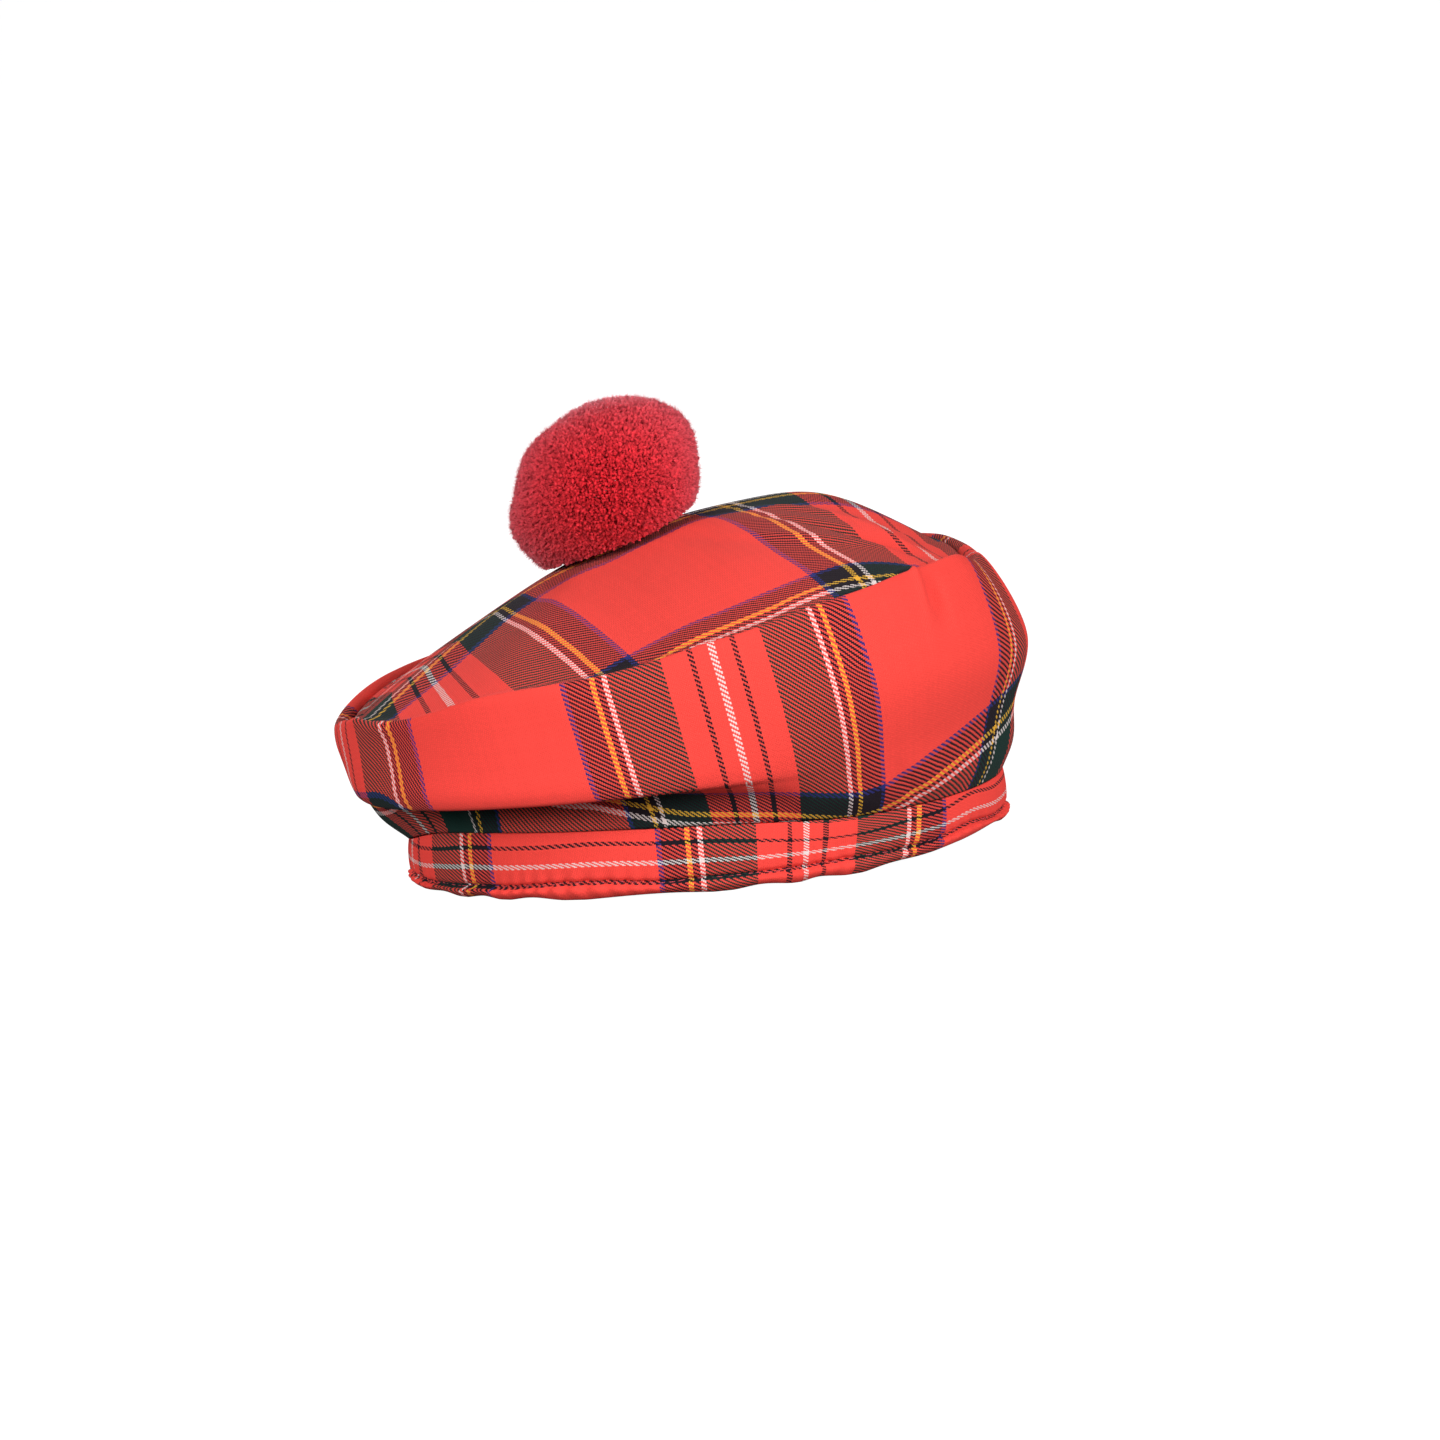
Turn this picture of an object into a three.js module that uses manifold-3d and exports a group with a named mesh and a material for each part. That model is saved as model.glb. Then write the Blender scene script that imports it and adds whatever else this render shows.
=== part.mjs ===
// Tam o' shanter: a soft tartan bonnet. A domed top disc is sewn to a full side ring, the side
// ring is drawn in to a narrow headband, and a yarn pompom sits on the crown.
// Millimetres, +Z up. The bonnet stands on its headband, seen from the front along +Y,
// slumped to its left (-X) and full on its right.

import * as THREE from 'three';
import { mergeVertices } from 'three/addons/utils/BufferGeometryUtils.js';
import Module from 'manifold-3d';

// Headband: an oval strip of doubled cloth with a rounded hem
const BAND_LENGTH = 197.6;
const BAND_WIDTH = 168;
const BAND_HEIGHT = 22;
const BAND_WALL = 2.8;
const HEM_HEIGHT = 5.4;
const HEM_PUFF = 0.5;

// Crown: the side ring and the top disc
const CLOTH_WALL = 1.5;
const OVERHANG = 22;
const CROWN_RISE = 74;
const SEAM_ROLL = 4;
const SEAM_DEPTH = 3;
const SEWN_GAP = 0.3;
const CROWN_PEAK = 82.5;
const CROWN_PEAK_LEFT = 21;
const CROWN_PEAK_BACK = 6;
const CROWN_FALL = 1.25;

// Pompom: a ball of cut yarn, pressed down on the crown and leaning a little to the left
const POMPOM_WIDTH = 61.5;
const POMPOM_HEIGHT = 60;
const POMPOM_STAND = 20.7;
const POMPOM_LEAN = 5;
const LOCK_COUNT = 72;
const LOCK_WIDTH = 14.6;
const LOCK_RELIEF = 3;
const CORE_DEPTH = 0.7;

// Fineness of the surfaces
const TURN_STEPS = 60;
const DISC_STEPS = 7;
const ROLL_STEPS = 3;
const SIDE_STEPS = [1, 1, 3, 4, 3, 3];
const LOCK_SIDES = 6;
const CORE_STEPS = 16;

const degrees = Math.PI / 180;

// Cross-sections of the bonnet, one row for each twelfth of a turn, anticlockwise seen from
// above, from the right end (0) by the back (90), the left end (180) and the front (270).
// Each Out is a share of OVERHANG past the band's outline and each Up a share of CROWN_RISE
// over the band: seam, belly, lip and tuck follow the cloth down from the seam to the band.
// dome is the swell of the top disc as a share of CROWN_RISE. bandUp and bandLift are the
// band's top and bottom edges as shares of BAND_HEIGHT.
const COLUMNS = [
  'seamOut', 'seamUp', 'bellyOut', 'bellyUp', 'lipOut', 'lipUp', 'tuckOut', 'tuckUp',
  'dome', 'bandUp', 'bandLift',
];
const SECTIONS = [
  [-0.28, 0.95, 0.54, 0.55, 0.26, 0.26, 0.20, 0.10, 0.17, 0.90, 0.15],
  [-0.16, 0.97, 0.59, 0.55, 0.36, 0.27, 0.24, 0.12, 0.16, 0.96, 0.05],
  [0.18, 0.93, 0.73, 0.51, 0.59, 0.22, 0.27, 0.11, 0.13, 1.00, 0.00],
  [0.50, 0.80, 0.91, 0.44, 0.82, 0.19, 0.36, 0.11, 0.07, 1.00, 0.00],
  [0.68, 0.67, 1.00, 0.38, 0.91, 0.175, 0.36, 0.095, 0.02, 0.95, 0.00],
  [0.76, 0.55, 1.00, 0.35, 0.85, 0.16, 0.38, 0.06, 0.01, 0.75, 0.00],
  [0.72, 0.44, 0.93, 0.35, 0.66, 0.17, 0.40, 0.00, 0.01, 0.62, 0.00],
  [0.74, 0.52, 1.00, 0.405, 0.98, 0.19, 0.32, 0.08, 0.02, 0.93, 0.00],
  [0.66, 0.66, 0.95, 0.46, 0.91, 0.20, 0.28, 0.12, 0.03, 1.00, 0.00],
  [0.45, 0.785, 0.86, 0.51, 0.77, 0.19, 0.38, 0.10, 0.06, 0.97, 0.00],
  [0.15, 0.925, 0.68, 0.54, 0.43, 0.20, 0.24, 0.04, 0.10, 0.83, 0.00],
  [-0.16, 0.985, 0.59, 0.57, 0.36, 0.27, 0.18, 0.06, 0.14, 0.85, 0.16],
];

// A column's value at an angle in degrees, on a smooth closed curve through its rows.
function section(name, turn) {
  const column = COLUMNS.indexOf(name);
  const count = SECTIONS.length;
  const place = (((turn % 360) + 360) % 360) / 360 * count;
  const row = Math.floor(place);
  const along = place - row;
  const value = (step) => SECTIONS[(row + step + count) % count][column];
  return smooth(value(-1), value(0), value(1), value(2), along);
}

// Uniform Catmull-Rom step between the second and third of four values.
function smooth(before, start, end, after, along) {
  const pull = 2 * start + (end - before) * along;
  const bend = (2 * before - 5 * start + 4 * end - after) * along ** 2;
  const twist = (3 * start - before - 3 * end + after) * along ** 3;
  return 0.5 * (pull + bend + twist);
}

// The point at an angle on the headband's outer oval, moved out along the oval's normal.
function oval(turn, out) {
  const cos = Math.cos(turn * degrees);
  const sin = Math.sin(turn * degrees);
  const normal = new THREE.Vector2(cos / (BAND_LENGTH / 2), sin / (BAND_WIDTH / 2)).normalize();
  return new THREE.Vector2(BAND_LENGTH / 2 * cos + out * normal.x, BAND_WIDTH / 2 * sin + out * normal.y);
}

// The side ring's section, from the valley of the seam to the top edge of the band.
// Each point is (out from the band's outline, up from the band's full height).
function sideSection(turn) {
  const seam = new THREE.Vector2(section('seamOut', turn) * OVERHANG, section('seamUp', turn) * CROWN_RISE);
  const bulge = (name) => new THREE.Vector2(
    section(`${name}Out`, turn) * OVERHANG, section(`${name}Up`, turn) * CROWN_RISE);
  return [
    rolled(seam, 90, 1),
    rolled(seam, 45, 1),
    rolled(seam, 0, 1),
    bulge('belly'),
    bulge('lip'),
    bulge('tuck'),
    new THREE.Vector2(0, (section('bandUp', turn) - 1) * BAND_HEIGHT + SEWN_GAP),
  ];
}

// A point on the quarter round that turns cloth down into the seam, 0 at its top and 90 in
// the valley; side is 1 for the side ring and -1 for the top disc.
function rolled(seam, angle, side) {
  const out = SEWN_GAP / 2 + SEAM_ROLL * (1 - Math.sin(angle * degrees));
  const down = SEAM_DEPTH * (1 - Math.cos(angle * degrees));
  return new THREE.Vector2(seam.x + side * out, seam.y - down);
}

// A point on a curve through a section's points; place counts whole spans from the first.
function sectionPoint(points, place) {
  const span = Math.min(Math.floor(place), points.length - 2);
  const start = points[span];
  const end = points[span + 1];
  const before = points[span - 1] ?? start.clone().multiplyScalar(2).sub(end);
  const after = points[span + 2] ?? end.clone().multiplyScalar(2).sub(start);
  const step = (a, b) => Math.sqrt(Math.max(a.distanceTo(b), 1e-6));
  const first = step(before, start);
  const middle = step(start, end);
  const last = step(end, after);
  const along = place - span;
  const tangent = (a, b, c, da, db) => {
    const rate = b.clone().sub(a).divideScalar(da);
    rate.sub(c.clone().sub(a).divideScalar(da + db));
    return rate.add(c.clone().sub(b).divideScalar(db)).multiplyScalar(middle);
  };
  const leave = tangent(before, start, end, first, middle);
  const arrive = tangent(start, end, after, middle, last);
  const result = start.clone().addScaledVector(leave, along);
  const bend = end.clone().sub(start).multiplyScalar(3).addScaledVector(leave, -2).sub(arrive);
  const twist = start.clone().sub(end).multiplyScalar(2).add(leave).add(arrive);
  return result.addScaledVector(bend, along ** 2).addScaledVector(twist, along ** 3);
}

// Outer face of the side ring at an angle and a place along its section.
function sideFace(turn, place) {
  const point = sectionPoint(sideSection(turn), place);
  const plan = oval(turn, point.x);
  return new THREE.Vector3(plan.x, plan.y, BAND_HEIGHT + point.y);
}

// Outer face of the top disc. Places up to DISC_STEPS run from the crown's peak to the top of
// the roll at the seam, and the last ROLL_STEPS go round the roll into the valley.
function discFace(turn, place) {
  const seam = new THREE.Vector2(section('seamOut', turn) * OVERHANG, section('seamUp', turn) * CROWN_RISE);
  const angle = Math.max(place - DISC_STEPS, 0) / ROLL_STEPS * 90;
  const edge = rolled(seam, angle, -1);
  const plan = oval(turn, edge.x);
  const share = Math.min(place / DISC_STEPS, 1);
  const peak = new THREE.Vector3(-CROWN_PEAK_LEFT, CROWN_PEAK_BACK, BAND_HEIGHT + CROWN_PEAK);
  const fall = (CROWN_PEAK - seam.y) * share ** CROWN_FALL;
  const swell = section('dome', turn) * CROWN_RISE * 4 * share * (1 - share);
  return new THREE.Vector3(
    peak.x + (plan.x - peak.x) * share,
    peak.y + (plan.y - peak.y) * share,
    peak.z - fall + swell + edge.y - seam.y);
}

// A face's outward direction, from its slopes along and round it.
function outward(face, turn, place, end) {
  const near = 0.02;
  const low = Math.max(place - near, near);
  const high = Math.min(place + near, end);
  const along = face(turn, high).sub(face(turn, low));
  const round = face(turn + 1, (low + high) / 2).sub(face(turn - 1, (low + high) / 2));
  return round.cross(along).normalize().negate();
}

// Turns a grid of points into one closed mesh: rings run along the section, each closed round
// the turn, and a ring of one point is a pole. The first and last rings are joined when the
// section closes on itself.
function closedMesh(rings, joined, name, colour, roughness) {
  const places = [];
  const first = [];
  for (const ring of rings) {
    first.push(places.length / 3);
    for (const point of ring) places.push(point.x, point.y, point.z);
  }
  const faces = [];
  const last = joined ? rings.length : rings.length - 1;
  for (let row = 0; row < last; row++) {
    const next = (row + 1) % rings.length;
    for (let step = 0; step < TURN_STEPS; step++) {
      const ahead = (step + 1) % TURN_STEPS;
      const a = first[row] + (rings[row].length > 1 ? step : 0);
      const b = first[row] + (rings[row].length > 1 ? ahead : 0);
      const c = first[next] + (rings[next].length > 1 ? ahead : 0);
      const d = first[next] + (rings[next].length > 1 ? step : 0);
      if (a !== b) faces.push(a, b, c);
      if (c !== d) faces.push(a, c, d);
    }
  }
  const geometry = new THREE.BufferGeometry();
  geometry.setAttribute('position', new THREE.Float32BufferAttribute(places, 3));
  geometry.setIndex(faces);
  return named(geometry, name, colour, roughness);
}

function named(geometry, name, colour, roughness) {
  geometry.computeVertexNormals();
  const mesh = new THREE.Mesh(geometry, new THREE.MeshStandardMaterial({ color: colour, roughness, metalness: 0 }));
  mesh.name = name;
  return mesh;
}

const turns = Array.from({ length: TURN_STEPS }, (_, step) => step * 360 / TURN_STEPS);

// Rings of points on a cloth's outer face, and the same set in by the cloth's wall.
function clothRings(face, stations, end, wall) {
  const outer = stations.map((place) => turns.map((turn) => face(turn, place)));
  const inner = stations.map((place) => turns.map(
    (turn) => face(turn, place).addScaledVector(outward(face, turn, place, end), -wall)));
  return [outer, inner];
}

// Side ring: one tube of cloth, open at the seam and at the band
function crownSide() {
  const stations = [0];
  SIDE_STEPS.forEach((steps, span) => {
    for (let step = 1; step <= steps; step++) stations.push(span + step / steps);
  });
  const [outer, inner] = clothRings(sideFace, stations, SIDE_STEPS.length, CLOTH_WALL);
  return closedMesh([...outer.reverse(), ...inner], true, 'crown_side', 0xe5413c, 0.85);
}

// Top disc: a domed round of cloth whose edge turns down into the seam
function crownTop() {
  const end = DISC_STEPS + ROLL_STEPS;
  const stations = Array.from({ length: end }, (_, step) => step + 1);
  const [outer, inner] = clothRings(discFace, stations, end, CLOTH_WALL);
  const peak = discFace(0, 0);
  const underPeak = peak.clone().setZ(peak.z - CLOTH_WALL);
  const rings = [[underPeak], ...inner, ...outer.reverse(), [peak]];
  return closedMesh(rings, false, 'crown_top', 0xd8332f, 0.85);
}

// Headband: doubled cloth with a puffed hem under the stitching, flat where it stands
function headband() {
  const nip = HEM_PUFF / 2;
  const profile = [
    { out: 0, up: 1, stitch: 0 },
    { out: 0, up: 0.6, stitch: 0.4 },
    { out: -nip, up: 0, stitch: 1 },
    { out: HEM_PUFF, up: 0, stitch: 0.45 },
    { out: -HEM_PUFF, up: 0, stitch: 0 },
    { out: HEM_PUFF - BAND_WALL, up: 0, stitch: 0 },
    { out: -HEM_PUFF - BAND_WALL, up: 0, stitch: 0.45 },
    { out: nip - BAND_WALL, up: 0, stitch: 1 },
    { out: -BAND_WALL, up: 0.6, stitch: 0.4 },
    { out: -BAND_WALL, up: 1, stitch: 0 },
  ];
  const rings = profile.map(({ out, up, stitch }) => turns.map((turn) => {
    const bottom = Math.max(section('bandLift', turn), 0) * BAND_HEIGHT;
    const top = section('bandUp', turn) * BAND_HEIGHT;
    const plan = oval(turn, out);
    return new THREE.Vector3(plan.x, plan.y, bottom + (top - bottom) * up + HEM_HEIGHT * stitch);
  }));
  return closedMesh(rings.reverse(), true, 'headband', 0xdb3833, 0.85);
}

// Pompom: locks of yarn fused to a core, cut to the crown that it is pressed on
async function pompom() {
  const wasm = await Module();
  wasm.setup();
  const solid = (source) => {
    const bare = source.clone();
    bare.deleteAttribute('normal');
    bare.deleteAttribute('uv');
    const merged = mergeVertices(bare, 1e-4);
    const vertProperties = new Float32Array(merged.attributes.position.array);
    return new wasm.Manifold(new wasm.Mesh({
      numProp: 3, vertProperties, triVerts: new Uint32Array(merged.index.array) }));
  };

  const radius = POMPOM_WIDTH / 2;
  const core = new THREE.SphereGeometry(radius - CORE_DEPTH * LOCK_RELIEF, CORE_STEPS, CORE_STEPS / 2);
  const half = LOCK_WIDTH / 2;
  const outline = [[0, -5], [1, -1.5], [0.62, -0.3], [0, 0]];
  const profile = outline.map(([wide, deep]) => new THREE.Vector2(wide * half, radius + deep * LOCK_RELIEF));
  const lock = new THREE.LatheGeometry(profile, LOCK_SIDES);
  let ball = solid(core);
  for (let index = 0; index < LOCK_COUNT; index++) {
    const rise = 1 - 2 * (index + 0.5) / LOCK_COUNT;
    const spin = index * Math.PI * (3 - Math.sqrt(5));
    const level = Math.sqrt(1 - rise * rise);
    const way = new THREE.Vector3(level * Math.cos(spin), rise, level * Math.sin(spin));
    const turn = new THREE.Quaternion().setFromUnitVectors(new THREE.Vector3(0, 1, 0), way);
    ball = ball.add(solid(lock.clone().applyQuaternion(turn)));
  }

  const lean = new THREE.Vector3(-Math.sin(POMPOM_LEAN * degrees), 0, Math.cos(POMPOM_LEAN * degrees));
  const place = discFace(0, 0).addScaledVector(lean, POMPOM_STAND);
  const stand = new THREE.Matrix4().makeTranslation(place.x, place.y, place.z);
  stand.multiply(new THREE.Matrix4().makeRotationFromQuaternion(
    new THREE.Quaternion().setFromUnitVectors(new THREE.Vector3(0, 1, 0), lean)));
  stand.multiply(new THREE.Matrix4().makeScale(1, POMPOM_HEIGHT / POMPOM_WIDTH, 1));
  const seated = ball.transform(stand.elements).subtract(solid(crownClearance().geometry));

  const { vertProperties, triVerts } = seated.getMesh();
  const geometry = new THREE.BufferGeometry();
  geometry.setAttribute('position', new THREE.BufferAttribute(vertProperties, 3));
  geometry.setIndex(new THREE.BufferAttribute(triVerts, 1));
  return named(geometry, 'pompom', 0xc4162c, 0.95);
}

// The room that the pompom leaves free: the crown's own outer face, raised by the sewn gap and
// carried down past the pompom's base
function crownClearance() {
  const raised = [];
  for (let place = DISC_STEPS - 1; place >= 1; place--) {
    raised.push(turns.map((turn) => discFace(turn, place).add(new THREE.Vector3(0, 0, SEWN_GAP))));
  }
  const peak = discFace(0, 0);
  const floor = raised[0].map((point) => point.clone().setZ(BAND_HEIGHT));
  const rings = [[peak.clone().setZ(BAND_HEIGHT)], floor, ...raised, [peak.clone().setZ(peak.z + SEWN_GAP)]];
  return closedMesh(rings, false, 'clearance', 0xffffff, 1);
}

const bonnet = new THREE.Group();
bonnet.add(headband(), crownSide(), crownTop(), await pompom());

// The origin is the middle of the bonnet's footprint, on the surface that it stands on.
const box = new THREE.Box3().setFromObject(bonnet, true);
bonnet.position.set(-(box.min.x + box.max.x) / 2, -(box.min.y + box.max.y) / 2, -box.min.z);

export default bonnet;
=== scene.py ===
import math

import bpy
import numpy as np
from mathutils import Matrix, Vector


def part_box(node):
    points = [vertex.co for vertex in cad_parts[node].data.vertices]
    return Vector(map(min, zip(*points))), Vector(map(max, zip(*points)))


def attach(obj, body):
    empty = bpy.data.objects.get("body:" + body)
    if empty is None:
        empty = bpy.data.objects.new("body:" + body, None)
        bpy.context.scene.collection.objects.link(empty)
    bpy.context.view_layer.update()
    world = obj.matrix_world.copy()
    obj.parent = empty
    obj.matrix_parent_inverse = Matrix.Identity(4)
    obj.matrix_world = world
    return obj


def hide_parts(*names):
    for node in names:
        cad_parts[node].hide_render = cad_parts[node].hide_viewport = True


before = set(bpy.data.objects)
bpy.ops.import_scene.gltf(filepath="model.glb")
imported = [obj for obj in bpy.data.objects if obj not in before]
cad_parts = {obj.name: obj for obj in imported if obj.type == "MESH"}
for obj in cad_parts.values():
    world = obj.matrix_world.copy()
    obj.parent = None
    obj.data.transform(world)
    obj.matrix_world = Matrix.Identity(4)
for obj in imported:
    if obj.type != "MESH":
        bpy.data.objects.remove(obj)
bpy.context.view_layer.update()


# Camera
# The photograph is taken from in front and a little above, with a long lens, and the camera
# is rolled a few degrees, so that the flat bonnet seems to rise to the right.
PHOTO_RISE = math.radians(7.7)
PHOTO_ROLL = math.radians(5.3)
PHOTO_AWAY = 1.8
PHOTO_WIDE = 0.4752
PHOTO_AIM = Vector((0.0117, -0.0004, 0.0433))
SENSOR = 36


def add_object(name, data):
    """An object that shows this data, linked into the scene."""
    thing = bpy.data.objects.new(name, data)
    bpy.context.collection.objects.link(thing)
    return thing


backward = Vector((0, -math.cos(PHOTO_RISE), math.sin(PHOTO_RISE)))
level = Vector((1, 0, 0))
upright = Vector((0, math.sin(PHOTO_RISE), math.cos(PHOTO_RISE)))
across = level * math.cos(PHOTO_ROLL) - upright * math.sin(PHOTO_ROLL)
upward = level * math.sin(PHOTO_ROLL) + upright * math.cos(PHOTO_ROLL)
camera_data = bpy.data.cameras.new("photo_camera")
camera_data.sensor_width = SENSOR
camera_data.lens = SENSOR * PHOTO_AWAY / PHOTO_WIDE
camera_data.clip_start = 0.05
camera_data.clip_end = 200
camera = add_object("photo_camera", camera_data)
camera.matrix_world = Matrix.Translation(PHOTO_AIM + backward * PHOTO_AWAY) @ Matrix(
    (across, upward, backward)).transposed().to_4x4()
bpy.context.scene.camera = camera
bpy.context.scene.view_settings.view_transform = "Standard"


# Floor and light
# A wide pale floor that sweeps up at its far edges, under a soft sky, two low lamps in front at
# the sides and a weak one behind. The floor also glows white for the camera, as a cut-out
# background does, and that glow is linked to the floor alone, so it doesn't light the cloth.
FLOOR_FLAT = 40
FLOOR_REACH = 70
FLOOR_RISE = 9
FLOOR_PALE = 0.15
FLOOR_GLOW = 0.98
SKY_LIGHT = 0.12
LAMPS = (
    ("left_lamp", (-1.42, -1.66, 0.88), 1.1, 47),
    ("right_lamp", (1.54, -1.58, 0.82), 1.1, 63),
    ("back_lamp", (-0.70, 2.20, 1.35), 1.2, 26),
)


def feed(node, values):
    """Give a node's input sockets, by name or number, another node's socket or a plain value."""
    for socket, value in values.items():
        if isinstance(value, bpy.types.NodeSocket):
            node.id_data.links.new(value, node.inputs[socket])
        else:
            node.inputs[socket].default_value = value


def new_paint(name, values):
    """A material whose shader has these plain values."""
    paint = bpy.data.materials.new(name)
    paint.use_nodes = True
    feed(paint.node_tree.nodes["Principled BSDF"], values)
    return paint


floor_mesh = bpy.data.meshes.new("floor")
floor_corners = ((-1, -1), (1, -1), (1, 1), (-1, 1))
floor_mesh.from_pydata(
    [(x * FLOOR_FLAT, y * FLOOR_FLAT, 0) for x, y in floor_corners]
    + [(x * FLOOR_REACH, y * FLOOR_REACH, FLOOR_RISE) for x, y in floor_corners], [],
    [(0, 1, 2, 3)] + [(side, side + 4, (side + 1) % 4 + 4, (side + 1) % 4) for side in range(4)])
floor_mesh.materials.append(new_paint("floor_paint", {
    "Base Color": (FLOOR_PALE, FLOOR_PALE, FLOOR_PALE, 1),
    "Roughness": 0.9,
    "Specular IOR Level": 0.1,
    "Emission Color": (1, 1, 1, 1),
    "Emission Strength": FLOOR_GLOW,
}))
floor = add_object("floor", floor_mesh)
glow_takers = bpy.data.collections.new("lit_by_the_glow")
glow_takers.objects.link(floor)
floor.light_linking.receiver_collection = glow_takers

sky = bpy.data.worlds.new("studio_sky")
sky.use_nodes = True
feed(sky.node_tree.nodes["Background"], {"Color": (1, 1, 1, 1), "Strength": SKY_LIGHT})
bpy.context.scene.world = sky

for lamp_name, lamp_place, lamp_wide, lamp_watts in LAMPS:
    lamp_data = bpy.data.lights.new(lamp_name, "AREA")
    lamp_data.shape = "DISK"
    lamp_data.size = lamp_wide
    lamp_data.energy = lamp_watts
    lamp = add_object(lamp_name, lamp_data)
    lamp.location = lamp_place
    lamp.rotation_euler = (PHOTO_AIM - Vector(lamp_place)).to_track_quat("-Z", "Y").to_euler()


# Side ring
# A full ring of tartan twill, sewn to the top disc along a rolled seam and drawn in to the
# headband. The cloth is soft, so it slumps at the left, folds over the band and dimples.
BAND_LENGTH = 0.1976
BAND_WIDTH = 0.168
BAND_HEIGHT = 0.022
CLOTH_WALL = 0.0015
OVERHANG = 0.022
CROWN_RISE = 0.074
SEAM_ROLL = 0.004
SEAM_DEPTH = 0.003
SEWN_GAP = 0.0003
BACK_SEAM = 80
RING_TURNS = 480

# Cross-sections every twelfth of a turn from the right end by the back, the left end and the
# front: shares of OVERHANG and CROWN_RISE for the seam, belly, lip and tuck, the swell of the
# top disc, and shares of BAND_HEIGHT for the band's top and bottom edges.
COLUMNS = (
    "seam_out", "seam_up", "belly_out", "belly_up", "lip_out", "lip_up", "tuck_out", "tuck_up",
    "dome", "band_up", "band_lift",
)
SECTIONS = np.array((
    (-0.28, 0.95, 0.54, 0.55, 0.26, 0.26, 0.20, 0.10, 0.17, 0.90, 0.15),
    (-0.16, 0.97, 0.59, 0.55, 0.36, 0.27, 0.24, 0.12, 0.16, 0.96, 0.05),
    (0.18, 0.93, 0.73, 0.51, 0.59, 0.22, 0.27, 0.11, 0.13, 1.00, 0.00),
    (0.50, 0.80, 0.91, 0.44, 0.82, 0.19, 0.36, 0.11, 0.07, 1.00, 0.00),
    (0.68, 0.67, 1.00, 0.38, 0.91, 0.175, 0.36, 0.095, 0.02, 0.95, 0.00),
    (0.76, 0.55, 1.00, 0.35, 0.85, 0.16, 0.38, 0.06, 0.01, 0.75, 0.00),
    (0.72, 0.44, 0.93, 0.35, 0.66, 0.17, 0.40, 0.00, 0.01, 0.62, 0.00),
    (0.74, 0.52, 1.00, 0.405, 0.98, 0.135, 0.32, 0.08, 0.02, 0.93, 0.00),
    (0.66, 0.66, 0.95, 0.46, 0.91, 0.15, 0.28, 0.12, 0.03, 1.00, 0.00),
    (0.45, 0.785, 0.86, 0.51, 0.77, 0.18, 0.36, 0.12, 0.06, 0.97, 0.00),
    (0.15, 0.925, 0.68, 0.54, 0.43, 0.20, 0.24, 0.04, 0.10, 0.83, 0.00),
    (-0.16, 0.985, 0.59, 0.57, 0.36, 0.27, 0.18, 0.06, 0.14, 0.85, 0.16),
))


def section(name, turn):
    """A column's value at angles in degrees: half of the sum of twice the row before, its
    slope times the share of the way, and the usual bend and twist of a Catmull-Rom curve."""
    values = SECTIONS[:, COLUMNS.index(name)]
    place = np.asarray(turn) % 360 / 360 * len(values)
    row = np.floor(place).astype(int)
    along = place - row
    before, start, end, after = (values[(row + step) % len(values)] for step in (-1, 0, 1, 2))
    pull = 2 * start + (end - before) * along
    bend = (2 * before - 5 * start + 4 * end - after) * along ** 2
    twist = (3 * start - before - 3 * end + after) * along ** 3
    return 0.5 * (pull + bend + twist)


def round_turn(rows, turn, soft=7):
    """A value at angles in degrees, straight between rows of (angle, value) and then averaged
    with a bell-shaped weight, soft degrees wide, over 20 degrees each way."""
    fine = np.arange(0, 360, 1.0)
    angles, values = np.array(rows).T
    straight = np.interp(fine, angles, values, period=360)
    reach = np.arange(-20, 21)
    weight = np.exp(-(reach / soft) ** 2)
    shares = weight / weight.sum()
    eased = sum(np.roll(straight, -step) * share for step, share in zip(reach, shares))
    return np.interp(np.asarray(turn) % 360, fine, eased, period=360)


# The seam wavers a little: (angle, millimetres up)
SEAM_WAVER = (
    (0, 0), (185, 0), (195, 2.2), (204, 1.0), (214, -1.6), (224, -1.4), (234, 0.2), (244, -1.0),
    (254, -2.0), (263, -1.6), (272, 0), (280, -0.6), (290, 0.3), (302, -0.4), (312, 0.4), (325, 0),
    (338, -1.8), (350, -3.5), (2, -3.0), (15, -1.0), (28, 0),
)

band_low, band_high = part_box("headband")
BAND_MIDDLE = np.array(((band_low + band_high) / 2)[:2])


def full_turn(count):
    """Angles in degrees once round in even steps, from the back seam to the back seam again."""
    return BACK_SEAM + np.arange(count + 1) * 360 / count


def oval(turn, out):
    """Plan points on the band's ellipse at angles in degrees, moved out along its normal."""
    cos = np.cos(np.radians(turn))
    sin = np.sin(np.radians(turn))
    across = cos / (BAND_LENGTH / 2)
    along = sin / (BAND_WIDTH / 2)
    size = np.hypot(across, along)
    return np.stack((
        BAND_MIDDLE[0] + BAND_LENGTH / 2 * cos + out * across / size,
        BAND_MIDDLE[1] + BAND_WIDTH / 2 * sin + out * along / size), -1)


def stand(turn, flat):
    """Points at angles in degrees, from how far out of the oval and up from the band they are."""
    return np.concatenate((oval(turn, flat[..., 0]), BAND_HEIGHT + flat[..., 1:]), -1)


def seam_height(turn):
    """Height of the seam over the band: its share of the crown's rise, and its waver."""
    return section("seam_up", turn) * CROWN_RISE + round_turn(SEAM_WAVER, turn, 4) / 1000


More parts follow.
